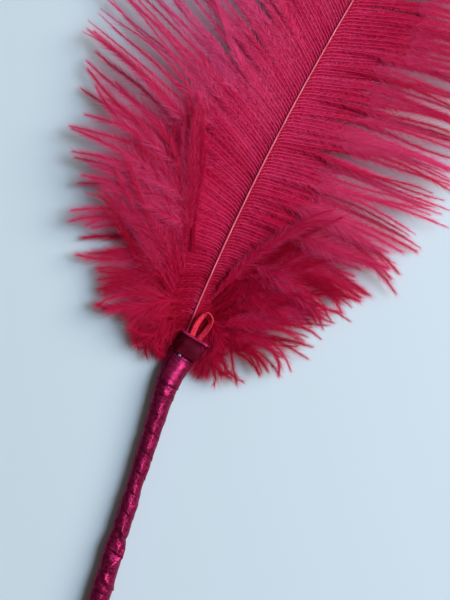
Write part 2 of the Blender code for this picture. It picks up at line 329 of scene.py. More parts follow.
# Each quarter of a side's barbs, from the collar to the tip: barbules a metre of barb, scale of
# their length, share of the loose ones, and how these thin out towards the barb's tip.
QUARTER_FRINGES = {
    1: ((24500, 1.0, 0.75, 1.2), (24500, 0.80, 0.24, 1.5), (23500, 0.70, 0.28, 1.5),
        (22000, 0.62, 0.45, 1.5)),
    -1: ((24500, 1.0, 0.9, 1.2), (24500, 0.80, 0.50, 1.5), (23500, 0.70, 0.60, 1.5),
         (22000, 0.62, 0.45, 1.5))}
LOWEST_DOWN = 0.0002                # no strand goes through the surface
WEB_WIDTH = ((0.0, 0.0016), (0.5, 0.0015), (1.0, 0.0005))
WEB_DROP = 0.0003                   # the web of roots lies this far under the shaft's line
WEB_ASIDE = 0.0002                  # and this far to its right
WEB_FLATNESS = 0.25
WEB_STATIONS = 80
WEB_SIDES = 10
dice = np.random.default_rng(11)


def unit(vectors):
    return vectors / np.linalg.norm(vectors, axis=-1, keepdims=True)


def vane_height(level):
    """Height of the vane's top over the surface at points given by their X and Y."""
    length = np.clip((level[..., 0] - collar.x) / math.cos(SHAFT_HEADING), 0, SHAFT_LENGTH)
    spine = shaft_points(length)
    reach = np.abs(level[..., 1] - spine[..., 1]) / VANE_REACH
    arch = spine[..., 2] / max(height for _, height in SHAFT_HEIGHT)
    return spine[..., 2] + eased(reach, VANE_RISE) * arch


def grow_barbs(side, up_shaft, angles, knee, length, layer, spread, tuft, pull, restless, curl,
               sweep=1.3):
    """Centre lines of barbs, as barb by step by coordinate.

    The three angles from the shaft are at the root, past the knee and at the tip, and curl turns
    the last half further. Each tuft's members draw together towards its middle line, and the
    layer lifts a barb over the others.
    """
    root = shaft_points(up_shaft)
    heading = SHAFT_HEADING + SHAFT_TURN * up_shaft
    along = np.linspace(0, 1, BARB_STEPS + 1) ** STEP_GROWTH
    middles = (along[1:] + along[:-1]) / 2
    first, second, last = (angle[:, None] for angle in angles)
    bend = np.clip(middles / knee[:, None], 0, 1)
    turn = first + (second - first) * bend * (2 - bend) + (last - second) * middles ** sweep
    turn = turn + curl[:, None] * np.clip(middles * 2 - 1, 0, 1) ** 1.5
    wave = dice.normal(0, restless, (len(root), 3, 1)) * np.sin(
        np.array((1, 2, 3))[:, None] * math.pi * middles + dice.uniform(0, 6, (len(root), 3, 1)))
    turn = heading[:, None] + side * (turn + wave.sum(axis=1) * np.clip(middles * 3 - 0.3, 0, 1))
    step = (length[:, None] * np.diff(along))[..., None]
    step = step * np.stack([np.cos(turn), np.sin(turn)], axis=-1)
    travel = np.concatenate([np.zeros((len(root), 1, 2)), np.cumsum(step, axis=1)], axis=1)
    level = root[:, None, :2] + travel
    members = np.maximum(np.bincount(tuft), 1)[:, None]
    middle = np.stack([
        [np.bincount(tuft, level[:, step, part]) for part in range(2)]
        for step in range(BARB_STEPS + 1)]).transpose(2, 0, 1) / members[..., None]
    draw = pull * eased(along, PULL_ALONG)[None, :, None]
    level = level + (middle[tuft] - level) * draw
    height = vane_height(level) + layer[:, None] * eased(along, spread)
    settle = eased(along, SETTLING)
    height = root[:, 2, None] + (height - root[:, 2, None]) * settle
    return np.concatenate([level, np.maximum(height, LOWEST_BARB)[..., None]], axis=-1)


def vane_barbs(side):
    """The plume's regular barbs on one side of the shaft, and their tones near and far from it."""
    count = BARBS_A_SIDE
    share = (np.arange(count) + dice.uniform(-0.12, 0.12, count)) / (count - 1)
    share = np.clip(share, 0, 1) ** BARB_CROWDING
    tuft = np.cumsum(dice.random(count) < TUFT_BREAK)
    tufts = tuft[-1] + 1
    tuft_turn = dice.normal(0, TUFT_TURN_SCATTER, tufts)[tuft]
    tuft_size = dice.normal(1, TUFT_SIZE_SCATTER, tufts)[tuft]
    tuft_layer = dice.uniform(-TUFT_LAYERS, TUFT_LAYERS, tufts)[tuft]
    length = eased(share, BARB_LENGTH[side]) * tuft_size * (1.03 - 0.3 * dice.random(count) ** 1.6)
    angles = np.radians([
        KNEE_ANGLE + dice.normal(0, 2, count),
        eased(share, BARB_ANGLE[side]) + dice.normal(0, 1.2, count),
        eased(share, TIP_ANGLE[side]) + tuft_turn + dice.normal(0, 2.2, count)])
    up_shaft = PLUME_START + share * (SHAFT_LENGTH - PLUME_START)
    # The barbs near the collar wander and curl most.
    restless = 0.06 + 0.20 * np.exp(-share / 0.05)
    curl = np.radians(9 + 38 * np.exp(-share / 0.07))
    curl = curl * (dice.normal(0, 0.8, tufts)[tuft] + dice.normal(0, 0.6, count))
    path = grow_barbs(side, up_shaft, angles, KNEE_LENGTH / length, length,
                      tuft_layer + dice.uniform(-0.4, 0.4, count), IN_THE_VANE, tuft, TUFT_PULL[side],
                      restless[:, None, None], curl)
    tone = eased(share, BARB_TONE) + dice.normal(0, BARB_TONE_SCATTER, count)
    tuft_tone = dice.normal(0, TUFT_TONE_SCATTER, tufts)[tuft]
    # The outer tone adds each tuft's own tone and the side's painted light.
    outer_tone_and_light = tone + tuft_tone + eased(share, ((0.1, 0.0), (0.3, OUTER_PAINTED_LIGHT[side])))
    return path, np.stack([tone, outer_tone_and_light], axis=-1)


def stray_barbs(side, tufts, members, up_shaft, first, second, last, knee, length, layer,
                spread, pull, restless, curl, sweep=1.3):
    """Tufts of barbs that lie across the others. A range is (at the first tuft, at the last)."""
    height_of_tuft = dice.normal(0, 0.45, tufts)
    tuft = np.repeat(np.arange(tufts), members)
    place = (tuft + dice.uniform(0.1, 0.9, tufts)[tuft]) / tufts
    count = tufts * members

    def between(pair, spread_by):
        return pair[0] + (pair[1] - pair[0]) * place + dice.normal(0, spread_by, count)

    angles = np.radians([between(first, 2), between(second, 1.5), between(last, 5)])
    lengths = between(length, 0) * dice.uniform(0.8, 1.08, count)
    curls = np.radians(curl) * (dice.normal(0, 0.8, tufts)[tuft] + dice.normal(0, 0.6, count))
    return grow_barbs(side, between(up_shaft, 0.0006), angles, np.full(count, knee), lengths,
                      between(layer, 0.15) + height_of_tuft[tuft], spread, tuft, pull, restless,
                      curls, sweep)


def read_path(path, barb, along):
    """Points and directions on the barbs' centre lines."""
    place = along ** (1 / STEP_GROWTH) * BARB_STEPS
    index = np.minimum(place.astype(int), BARB_STEPS - 1)
    part = (place - index)[:, None]
    here, there = path[barb, index], path[barb, index + 1]
    return here + (there - here) * part, unit(there - here)


def own_places(run, tones):
    """A small patch of the colour map for each face: its place on the barb across, its tone up."""
    across = 0.006 * np.arange(tones.shape[1]) % 0.018
    place = np.stack([0.03 + 0.94 * run[:, None] + across, np.clip(tones, 0.02, 0.98)], axis=-1)
    return place.reshape(-1, 2)


def barbules(path, tone, a_metre, reach, low, high, length, slant, lift, half_width, shade, thinning):
    """One fringe: small pointed faces on both sides of each barb. Reach scales their length."""
    length = [(at, metres * reach) for at, metres in length]
    size = np.linalg.norm(np.diff(path, axis=1), axis=-1).sum(axis=1)
    each = np.round(size * (high - low) * a_metre).astype(int)
    barb = np.repeat(np.arange(len(path)), each)
    order = np.arange(len(barb)) - np.repeat(np.cumsum(each) - each, each)
    spot = (order + dice.random(len(barb))) / each[barb]
    along = low + (high - low) * spot ** thinning
    root, ahead = read_path(path, barb, along)
    level = unit(np.cross(np.array(upright), ahead))
    above = np.cross(ahead, level)
    side = np.where(order % 2, 1.0, -1.0)[:, None]
    lean = slant[0] + (slant[1] - slant[0]) * spot + dice.normal(0, 7, len(barb))
    lean = np.radians(lean)[:, None]
    rise = np.radians(dice.normal(*lift, len(barb)))[:, None]
    out = side * np.cos(rise) * level + np.sin(rise) * above
    out = np.cos(lean) * ahead + np.sin(lean) * out
    wide = unit(np.cross(out, np.array(upright) + dice.normal(0, 0.5, (len(barb), 3))))
    wide = wide * (half_width * (1.2 - 0.5 * spot))[:, None]
    tip = root + out * (eased(along, length) * dice.uniform(0.6, 1.3, len(barb)))[:, None]
    # Shade darkens the roots as painted shade and makes the tips paler as painted light.
    tones = tone[barb, 0] + (tone[barb, 1] - tone[barb, 0]) * along + shade[0]
    tones += dice.normal(0, 0.08, len(barb))
    tones = np.stack([tones, tones, tones + shade[1]], axis=-1)
    points = np.stack([root - wide, root + wide, tip], axis=1)
    return points, np.arange(len(points) * 3), np.full(len(points), 3), own_places(along, tones)


def barb_stems(path, tone):
    """The barbs' own thin stems, three-sided and tapered."""
    barbs, rings = path.shape[:2]
    ahead = unit(np.gradient(path, axis=1))
    level = unit(np.cross(np.array(upright), ahead))
    above = np.cross(ahead, level)
    run = np.linspace(0, 1, rings) ** STEP_GROWTH
    radius = eased(run, STEM_RADIUS)[None, :, None]
    points = np.stack([
        path + radius * (math.sin(turn) * level + math.cos(turn) * above)
        for turn in (0, math.tau / 3, 2 * math.tau / 3)], axis=2)
    corner = np.arange(barbs * rings * 3).reshape(barbs, rings, 3)
    beside = np.roll(corner, -1, axis=2)
    quads = np.stack([corner[:, :-1], beside[:, :-1], beside[:, 1:], corner[:, 1:]], axis=-1)
    faces = quads.size // 4
    along = np.broadcast_to(run[None, :-1, None], quads.shape[:3]).ravel()
    # Stems start paler than their fringes, partly as painted sheen, and deepen towards the tip.
    tones = np.broadcast_to((tone[:, 0] + STEM_PALER_WITH_SHEEN)[:, None, None, None], quads.shape).reshape(-1, 4)
    tones = tones - STEM_DEEPENS * along[:, None] + np.array((0, 0, 0.01, 0.01))
    return points, quads.ravel(), np.full(faces, 4), own_places(along, tones)


def down_mesh(name, path, tone, a_metre, reach=1.0, loose_share=1.0, thinning=1.2):
    """One mesh of barbs with their fringes, from joined arrays.

    Reach scales the fringes, and thinning leaves fewer loose barbules towards the tips.
    """
    full, pressed = a_metre * FULL_CROWDING, a_metre * PRESSED_CROWDING
    shapes = (
        barb_stems(path, tone),
        barbules(path, tone, full, reach, **ROOT_FRINGE),
        barbules(path, tone, full, reach, **NEAR_FRINGE),
        barbules(path, tone, pressed, reach, **PRESSED_FRINGE),
        barbules(path, tone, full * loose_share, reach, thinning=thinning, **LOOSE_FRINGE))
    points, corners, sizes, places, count = [], [], [], [], 0
    for shape in shapes:
        points.append(shape[0].reshape(-1, 3))
        corners.append(shape[1] + count)
        sizes.append(shape[2])
        places.append(shape[3])
        count += len(points[-1])
    points = np.concatenate(points)
    points[:, 2] = np.maximum(points[:, 2], LOWEST_DOWN)
    sizes = np.concatenate(sizes)
    mesh = bpy.data.meshes.new(name)
    mesh.vertices.add(count)
    mesh.vertices.foreach_set("co", points.astype(np.float32).ravel())
    corners = np.concatenate(corners)
    mesh.loops.add(len(corners))
    mesh.loops.foreach_set("vertex_index", corners.astype(np.int32))
    mesh.polygons.add(len(sizes))
    mesh.polygons.foreach_set("loop_start", (np.cumsum(sizes) - sizes).astype(np.int32))
    places = np.concatenate(places).astype(np.float32)
    mesh.uv_layers.new(name="OFBake").data.foreach_set("uv", places.ravel())
    mesh.update(calc_edges=True)
    return mesh


def down_material():
    """Dyed down: its map's tone sets the colour, deeper where strands lie thick and pinker at the tips,
    partly the dye and partly painted shade and painted light; light also passes through.
    """
    material, tree, shader = principled("dyed_down", 0.6, Specular_IOR_Level=0.07)
    place = add_node(tree, "ShaderNodeUVMap", uv_map="OFBake")
    split = add_node(tree, "ShaderNodeSeparateXYZ")
    tree.links.new(place.outputs[0], split.inputs[0])
    dye = color_ramp(tree, split.outputs["Y"], (0.0, (0.33, 0.0006, 0.016)),
                     (0.5, (0.63, 0.0075, 0.076)), (1.0, (0.84, 0.105, 0.330)))
    tree.links.new(dye, shader.inputs["Base Color"])
    through = add_node(tree, "ShaderNodeBsdfTranslucent")
    tree.links.new(dye, through.inputs["Color"])
    mix = add_node(tree, "ShaderNodeMixShader", Fac=0.35)
    tree.links.new(shader.outputs[0], mix.inputs[1])
    tree.links.new(through.outputs[0], mix.inputs[2])
    tree.links.new(mix.outputs[0], tree.nodes["Material Output"].inputs["Surface"])
    return material


def root_web_mesh():
    """The barbs' crowded roots, a low soft ridge under both sides of the shaft, in a deep tone
    that is partly painted shade under the shaft.
    """
    lengths = np.linspace(0.009, SHAFT_LENGTH - 0.004, WEB_STATIONS)
    points = shaft_points(lengths) + np.array((0, 0, -WEB_DROP))
    ahead = np.gradient(points, axis=0)
    points = points - unit(np.cross(np.array(upright), ahead)) * WEB_ASIDE
    widths = eased(lengths / SHAFT_LENGTH, WEB_WIDTH)
    bm = drawn_out([round_station(*row, 0.3) for row in zip(points, ahead, widths)], WEB_SIDES)
    for vert in bm.verts:
        spine = shaft_points(max(vert.co.x - collar.x, 0))[2] - WEB_DROP
        vert.co.z = spine + (vert.co.z - spine) * WEB_FLATNESS
    uv = bm.loops.layers.uv.new("OFBake")
    for face in bm.faces:
        for number, loop in enumerate(face.loops):
            # A fixed deep tone on the map: the roots' crimson, darkened as painted shade under the shaft.
            loop[uv].uv = (0.5 + 0.01 * (number % 2), 0.10 + 0.02 * (number // 2 % 2))
    return shaded_mesh("root_web", bm)


down = down_material()
make_piece("root_web", root_web_mesh(), down, "dyed_feather", "feather")
for side, side_name in ((1, "left"), (-1, "right")):
    quarters = (np.array_split(rows, 4) for rows in vane_barbs(side))
    for part, (path, tone, fringe) in enumerate(zip(*quarters, QUARTER_FRINGES[side])):
        name = f"barbs_{side_name}_{part + 1}"
        mesh = down_mesh(name, path, tone, *fringe)
        make_piece(name, mesh, down, "dyed_feather", "feather")

# Barbs that cross the others: streaks over the left side, a fan over the right side, and curls
# round the collar.
streaks = stray_barbs(
    1, tufts=16, members=3, up_shaft=(0.026, 0.012), first=(88, 88), second=(12, 52), last=(26, 66),
    knee=0.30, length=(0.080, 0.060), layer=(1.2, 0.8), spread=OVER_THE_VANE, pull=0.5, restless=0.13,
    curl=18)
fan = stray_barbs(
    -1, tufts=18, members=3, up_shaft=(0.009, 0.007), first=(16, 84), second=(18, 88), last=(64, 124),
    knee=0.3, length=(0.084, 0.038), layer=(1.0, 0.8), spread=OVER_THE_VANE, pull=0.55, restless=0.14,
    curl=38, sweep=2.4)
curls = [stray_barbs(
    side, tufts=13, members=2, up_shaft=(0.014, 0.006), first=(96, 108), second=(104, 128),
    last=(150, 200), knee=0.3, length=(0.036, 0.016), layer=(0.6, -0.6), spread=IN_THE_VANE, pull=0.4,
    restless=0.40, curl=60)
    for side in (1, -1)]
# Depth is each tuft's mean tone; the low depths of the fan and the base curls are partly painted shade
# among their crowded strands.
for name, path, members, depth, density, reach in (
        ("barbs_streak", streaks, 3, 0.33, 12500, 0.6), ("barbs_fan", fan, 3, 0.10, 14500, 0.7),
        ("barbs_base", np.concatenate(curls), 2, 0.03, 16000, 0.8)):
    tone = np.repeat(dice.normal(depth, 0.14, len(path) // members), members)
    tone = tone + dice.normal(0, BARB_TONE_SCATTER, len(path))
    tone = np.stack([tone, tone + 0.06], axis=-1)
    make_piece(name, down_mesh(name, path, tone, density, reach), down, "dyed_feather", "feather")


# Ribbon wrapping ------------------------------------------------------------------------------
# One length of wine-red satin ribbon binds stick and quill. It starts at the butt, each turn
# overlaps the one below, and the last turn widens into a smooth cone over the loop's ends.

RIBBON_WIDTH = 0.012
RIBBON_PITCH = 0.008
RIBBON_STEP = 0.00013               # a turn's lower edge stands this far above the turn it covers
RIBBON_THICKNESS = 0.00011
TOP_EDGE = 0.0196                   # the last helical turn's lower edge, below the collar, on top
TURN_RUN = 0.026                    # length of ribbon in one turn
GIRTH = 0.025                       # round the handle
BUTT = 0.1493                       # below the collar
TURN_ON_TOP = 0.25                  # turns are counted from the handle's left side
FIRST_TURN = TURN_ON_TOP - 0.7
LAST_TURN = (BUTT - TOP_EDGE) / RIBBON_PITCH + 1.25
STEPS_A_TURN = 60
STEPS_ACROSS = 14
CONE_UPPER = 0.0028                 # the cone's edges, below the collar
CONE_LOWER = 0.0155
CAP_RADIUS = 0.0035
CAP_END = 0.1499                    # the pleated end, below the collar
CAP_ROUNDING = 0.0014
FLOATS_ACROSS = 3200                # the weave's floats in a metre of the ribbon's width
FLOAT_LEAN = 0.35
PICOT_LENGTH = 0.0012
PICOT_BAND = (0.405, 0.485)         # from the ribbon's middle, as shares of its width
PICOT_MARGIN = 0.09                 # share of the ribbon's map that the helix leaves out at each edge
RIBBON_BOTTOM = 0.0001              # no ribbon goes through the surface
SECTIONS = (    # below the collar, then across, heading in degrees, half width, half height
    (-0.0015, -0.0042, -20, 0.0055, 0.0027), (0.005, -0.0018, -20, 0.0054, 0.0029),
    (0.008, -0.0011, -15, 0.0052, 0.0036), (0.012, -0.0004, -9, 0.0050, 0.0041),
    (0.016, -0.0001, -4, 0.0047, 0.0043), (0.020, 0, 0, 0.0045, 0.0044), (0.025, 0, 0, 0.0041, 0.0041),
    (0.038, 0, 0, 0.0037, 0.0037), (0.056, 0, 0, 0.0033, 0.0033), (0.068, 0, 0, 0.0036, 0.0036),
    (0.077, 0, 0, 0.0036, 0.0036), (0.083, 0, 0, 0.0043, 0.0041), (0.091, 0, 0, 0.0040, 0.0040),
    (0.099, 0, 0, 0.0043, 0.0042), (0.106, 0, 0, 0.0042, 0.0042), (0.1468, 0, 0, 0.0042, 0.0042),
    (0.1490, 0, 0, 0.0036, 0.0036), (0.1500, 0, 0, 0.0022, 0.0022),
)
ARC = 0.000073                      # metres round the wrapping for each degree
CREASES = (     # half width, height, then points: below the collar, and angle (90 top, 180 right)
    (0.00060, 0.00075, ((0.0745, 100), (0.0775, 118), (0.0812, 150), (0.0850, 150), (0.0882, 112),
                        (0.0900, 88))),
    (0.00180, -0.00035, ((0.0795, 86), (0.0850, 96))),
    (0.00060, -0.00070, ((0.0776, 196), (0.0786, 150))),
    (0.00060, -0.00060, ((0.0830, 200), (0.0836, 170))),
    (0.00065, 0.00050, ((0.0935, 80), (0.0965, 120), (0.0982, 178))),
    (0.00040, -0.00050, ((0.0949, 62), (0.0972, 112), (0.0995, 180))),
    (0.00180, 0.00030, ((0.0480, 200), (0.0500, 150))),
    (0.00150, 0.00030, ((0.0640, 190), (0.0655, 130))),
    (0.00150, -0.00020, ((0.0560, 120), (0.0580, 170))),
    (0.00180, 0.00035, ((0.1180, 60), (0.1220, 110))),
    (0.00150, 0.00030, ((0.1330, 170), (0.1360, 110))),
    (0.00150, 0.00025, ((0.0390, 160), (0.0410, 110))),
)


def line_distance(here, start, end):
    """From a point to a straight line between two others."""
    share = (here - start).dot(end - start) / (end - start).length_squared
    return (here - start.lerp(end, min(max(share, 0), 1))).length


def creased(below, angle):
    """How far the creases and puckers lift the ribbon at a place on the wrapping."""
    here = Vector((below, math.degrees(angle) % 360 * ARC))
    height = 0.0
    for half_width, rise, points in CREASES:
        if points[0][0] - 0.006 < below < points[-1][0] + 0.006:
            flat = [Vector((at, degrees * ARC)) for at, degrees in points]
            away = min(line_distance(here, *pair) for pair in zip(flat, flat[1:]))
            height += rise * math.exp(-(away / half_width) ** 2)
    return height


def wrapped_point(below, angle, rise):
    """A point on the wrapping: distance below the collar, angle round the handle, height off it."""
    across, heading, half_width, half_height = (
        float(eased(below, [(row[0], row[column]) for row in SECTIONS])) for column in range(1, 5))
    rise += creased(below, angle)
    turn = math.radians(heading)
    centre = collar + Vector((-below, across, 0))
    outward = Vector((-math.sin(turn), math.cos(turn), 0)) * (half_width + rise) * math.cos(angle)
    return centre + outward + upright * (half_height + rise) * math.sin(angle)


def ribbon_strip(bm, steps, place):
    """A strip of ribbon as a grid; place(along, across) sets its points. Its map is in metres."""
    # The helix shows its plain middle; only the cone shows the ribbon's picot edges.
    margin = 0.0 if place is cone_place else PICOT_MARGIN
    uv = bm.loops.layers.uv.get("UVMap") or bm.loops.layers.uv.new("UVMap")
    grid = bmesh.ops.create_grid(bm, x_segments=steps, y_segments=STEPS_ACROSS, size=0.5)["verts"]
    shares = {vert: (vert.co.x + 0.5, vert.co.y + 0.5) for vert in grid}
    run = TURN_RUN * steps / STEPS_A_TURN
    for vert, (along, across) in shares.items():
        vert.co = place(along, across)
        for loop in vert.link_loops:
            loop[uv].uv = (along * run, (margin + across * (1 - 2 * margin)) * RIBBON_WIDTH)


def helix_place(along, across):
    """The wound ribbon, from the last helical turn down to the butt, where it runs out as a wedge."""
    turns = FIRST_TURN + (LAST_TURN - FIRST_TURN) * along
    edge = TOP_EDGE + (turns - TURN_ON_TOP) * RIBBON_PITCH
    # The hand that wound it was never quite even: edges wander and steps come and go.
    edge += 0.0006 * math.sin(turns * 2.3) * math.sin(turns * 9.1)
    step = RIBBON_STEP * (1 + 0.8 * math.sin(turns * 4.7))
    upper = edge - RIBBON_WIDTH / math.cos(math.atan2(RIBBON_PITCH, GIRTH))
    edge = min(edge, BUTT)
    width = (edge - upper) * across
    covered = min(width / RIBBON_PITCH, 1)
    rise = -step * covered - 0.00012 * max(0, width / RIBBON_PITCH - 1)
    rise += 0.00005 * math.sin(turns * 31 + across * 9) + 0.00004 * math.sin(turns * 67 - across * 14)
    return wrapped_point(edge - width, turns * math.tau, rise)


def cone_place(along, across):
    """The last turn, laid flat as a cone whose upper edge tucks under the collar."""
    angle = along * math.tau * 1.03 + 0.9
    lower = CONE_LOWER - 0.0006 * math.cos(angle)
    below = lower + (CONE_UPPER - lower) * across
    rise = 0.00022 - 0.0003 * along + 0.00005 * math.sin(angle * 5 + across * 6)
    rise += 0.00018 * math.exp(-(across / 0.06) ** 2)
    return wrapped_point(below, angle, rise)


def ribbon_wrap_mesh():
    """The helix, the cone over it, and the ribbon's first end folded over the butt in pleats."""
    bm = bmesh.new()
    ribbon_strip(bm, round((LAST_TURN - FIRST_TURN) * STEPS_A_TURN), helix_place)
    ribbon_strip(bm, STEPS_A_TURN, cone_place)
    uv = bm.loops.layers.uv["UVMap"]
    cap = bmesh.ops.create_circle(
        bm, segments=STEPS_A_TURN, radius=1, cap_ends=True, cap_tris=True)["verts"]
    edges = list({edge for vert in cap for edge in vert.link_edges})
    spokes = [edge for edge in edges if any(vert.co.length < 0.1 for vert in edge.verts)]
    bmesh.ops.subdivide_edges(bm, edges=spokes, cuts=5)
    for vert in (vert for vert in bm.verts if abs(vert.co.z) < 1e-9 and vert.co.length <= 1.001):
        reach, angle = vert.co.xy.length, math.atan2(vert.co.y, vert.co.x)
        for loop in vert.link_loops:
            loop[uv].uv = (angle * 0.003, reach * CAP_RADIUS)
        bulge = 0.0001 * math.sin(9 * angle + 2 * reach) * reach
        below = CAP_END - CAP_ROUNDING * reach ** 3 + bulge
        vert.co = collar + Vector((
            -below, reach * CAP_RADIUS * math.cos(angle), reach * CAP_RADIUS * math.sin(angle)))
    for vert in bm.verts:
        vert.co.z = max(vert.co.z, RIBBON_BOTTOM)
    bmesh.ops.recalc_face_normals(bm, faces=bm.faces)
    return shaded_mesh("ribbon_wrap", bm, 70)


def woven_satin():
    """A node group: fine floats along the ribbon, and a row of picots at its two edges."""
    group, inside, outside = node_group(
        "woven satin",
        {"Place": "Vector", "Width": "Float", "Float Length": "Float", "Dark": "Color", "Bright": "Color"},
        {"Color": "Color", "Height": "Float"})
    split = add_node(group, "ShaderNodeSeparateXYZ")
    group.links.new(inside.outputs["Place"], split.inputs[0])

    def maths(operation, first, second=None):
        node = add_node(group, "ShaderNodeMath", operation=operation)
        for socket, value in zip(node.inputs, (first, second)):
            if isinstance(value, int | float):
                socket.default_value = value
            elif value is not None:
                group.links.new(value, socket)
        return node.outputs[0]

    along = maths("DIVIDE", split.outputs["X"], inside.outputs["Float Length"])
    across = maths("MULTIPLY", split.outputs["Y"], FLOATS_ACROSS)
    lean = maths("ADD", along, maths("MULTIPLY", across, FLOAT_LEAN))
    cell = add_node(group, "ShaderNodeCombineXYZ")
    group.links.new(lean, cell.inputs["X"])
    group.links.new(across, cell.inputs["Y"])
    floats = add_node(group, "ShaderNodeTexNoise", Scale=1.0, Detail=1.0, Roughness=0.6)
    group.links.new(cell.outputs[0], floats.inputs["Vector"])
    grains = add_node(group, "ShaderNodeTexNoise", Scale=0.42, Detail=2.0, Roughness=0.75)
    group.links.new(cell.outputs[0], grains.inputs["Vector"])
    woven = maths("ADD", maths("MULTIPLY", floats.outputs[0], 0.45),
                  maths("MULTIPLY", grains.outputs[0], 0.55))
    # Picots: dashes within a band at either edge.
    share = maths("DIVIDE", split.outputs["Y"], inside.outputs["Width"])
    from_middle = maths("ABSOLUTE", maths("SUBTRACT", share, 0.5))
    band = maths("MULTIPLY", maths("GREATER_THAN", from_middle, PICOT_BAND[0]),
                 maths("LESS_THAN", from_middle, PICOT_BAND[1]))
    dash = maths("SINE", maths("MULTIPLY", split.outputs["X"], math.tau / PICOT_LENGTH))
    picot = maths("MULTIPLY", band, maths("GREATER_THAN", dash, 0.1))
    height = maths("ADD", woven, maths("MULTIPLY", picot, -0.8))
    tone = add_node(group, "ShaderNodeMapRange", From_Min=0.36, From_Max=0.62)
    group.links.new(woven, tone.inputs["Value"])
    shade = maths("MULTIPLY", tone.outputs[0], maths("SUBTRACT", 1.0, maths("MULTIPLY", picot, 0.9)))
    color = color_mix(group, shade, inside.outputs["Dark"], inside.outputs["Bright"])
    group.links.new(color, outside.inputs["Color"])
    group.links.new(height, outside.inputs["Height"])
    return group


satin_weave = woven_satin()


def satin_material(name, dark, bright, width, float_length, roughness, relief, **values):
    """Satin ribbon: the weave group drives colour and bump. Width and floats are in metres."""
    material, tree, shader = principled(name, roughness, **values)
    place = add_node(tree, "ShaderNodeUVMap", uv_map="UVMap")
    weave = add_node(tree, "ShaderNodeGroup", node_tree=satin_weave, Width=width,
                     Float_Length=float_length, Dark=(*dark, 1), Bright=(*bright, 1))
    tree.links.new(place.outputs[0], weave.inputs["Place"])
    bump = add_node(tree, "ShaderNodeBump", Strength=0.5, Distance=relief)
    tree.links.new(weave.outputs["Height"], bump.inputs["Height"])
    tree.links.new(bump.outputs[0], shader.inputs["Normal"])
    tree.links.new(weave.outputs["Color"], shader.inputs["Base Color"])
    return material


wine_satin = satin_material(
    "wine_satin_ribbon", (0.048, 0.0007, 0.009), (0.29, 0.013, 0.075), RIBBON_WIDTH, 0.0011, 0.29, 0.0004,
    Metallic=0.55, Specular_IOR_Level=0.8, Specular_Tint=(1.0, 0.12, 0.42, 1))
wrap = make_piece("satin_wrap", ribbon_wrap_mesh(), wine_satin, "wine_satin", "ribbon_wrap")
cloth = wrap.modifiers.new("cloth", "SOLIDIFY")
cloth.thickness = RIBBON_THICKNESS
cloth.offset = -1


# Collar band ----------------------------------------------------------------------------------
# A wide maroon ribbon folded flat round the handle's top and glued. Its upper edge is rolled, and takes a
# paler copy of the satin as painted highlight.

COLLAR_TILT = math.radians(-13)
COLLAR_LEAN = 0.17                          # its sides lean this much more than its edges
collar_low, collar_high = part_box("collar_band")
COLLAR_CENTRE = (collar_low + collar_high) / 2 + Vector((0, -0.0005, 0))
COLLAR_SIZE = (0.0078, 0.0122, 0.0074)      # height, width, depth
COLLAR_NARROWS = 0.05                       # share of the width lost at the lower edge
ROLL_RADIUS = 0.0010
FACET_START = 0.50                          # share of the half width where the left side slopes away
FACET_SLOPE = 1.9
COLLAR_INSIDE = 0.0012                      # the roll's inner edge goes this far down inside
HEM = 0.0002                                # the lower edge is folded this round
COLLAR_RIBBON = COLLAR_SIZE[0] * 1.2        # width of its weave, with what is rolled in


def collar_mesh():
    """A boxy tube from rings; its profile is a drop below the upper edge and how far it stands out."""
    height, width, depth = COLLAR_SIZE
    turn = Matrix.Rotation(COLLAR_TILT, 3, "Z")
    profile = [(-COLLAR_INSIDE, -ROLL_RADIUS)]
    for step in range(9):
        angle = math.pi * (1 - step / 8)
        profile.append((ROLL_RADIUS * math.sin(angle), ROLL_RADIUS * (math.cos(angle) - 0.5)))
    profile += [(-0.0007, 0.00012)] + [(-height * step / 8, 0.0) for step in range(1, 8)]
    profile += [(-height + HEM, 0.0), (-height, -0.00012), (-height + HEM, -0.0003),
                (-height * 0.6, -0.0004)]

    def ring(drop, proud):
        def station(angle):
            share = min(1, max(0, -drop / height))
            narrow = 1 - COLLAR_NARROWS * share
            box = [math.copysign(abs(part) ** 0.5, part) for part in (math.cos(angle), math.sin(angle))]
            crease = 0.00010 * math.sin(angle * 3 + drop * 900)
            # The left side slopes away from the flat face, more so lower down.
            slope = 1 - FACET_SLOPE * (0.15 + 0.85 * share) * max(0, box[0] - FACET_START)
            return COLLAR_CENTRE + turn @ Vector((
                height / 2 + drop, box[0] * (width / 2 * narrow + proud) + COLLAR_LEAN * height * share,
                box[1] * (depth / 2 + proud + crease) * (slope if box[1] > 0 else 1)))
        return station

    bm = drawn_out([ring(*row) for row in profile], 72, closed=False)
    uv = bm.loops.layers.uv.new("UVMap")
    unturn = turn.inverted()
    for face in bm.faces:
        middle = unturn @ (face.calc_center_median() - COLLAR_CENTRE)
        # Faces along the rolled upper edge take the second, paler satin: painted highlight.
        face.material_index = middle.x > height / 2 - 0.0003
        for loop in face.loops:
            local = unturn @ (loop.vert.co - COLLAR_CENTRE)
            loop[uv].uv = (local.y + 0.02, local.x + height / 2 + COLLAR_INSIDE)
    return shaded_mesh("collar", bm, 50)


# The collar's satin: dark maroon, darkened further as painted shade for the dark reflection of its flat
# face.
maroon_satin = satin_material(
    "maroon_satin_ribbon", (0.040, 0.0006, 0.004), (0.090, 0.003, 0.012), COLLAR_RIBBON, 0.0016, 0.40,
    0.0001, Specular_IOR_Level=0.25, Specular_Tint=(1.0, 0.15, 0.45, 1))
collar_piece = make_piece("collar", collar_mesh(), maroon_satin, "maroon_satin", "collar_band")
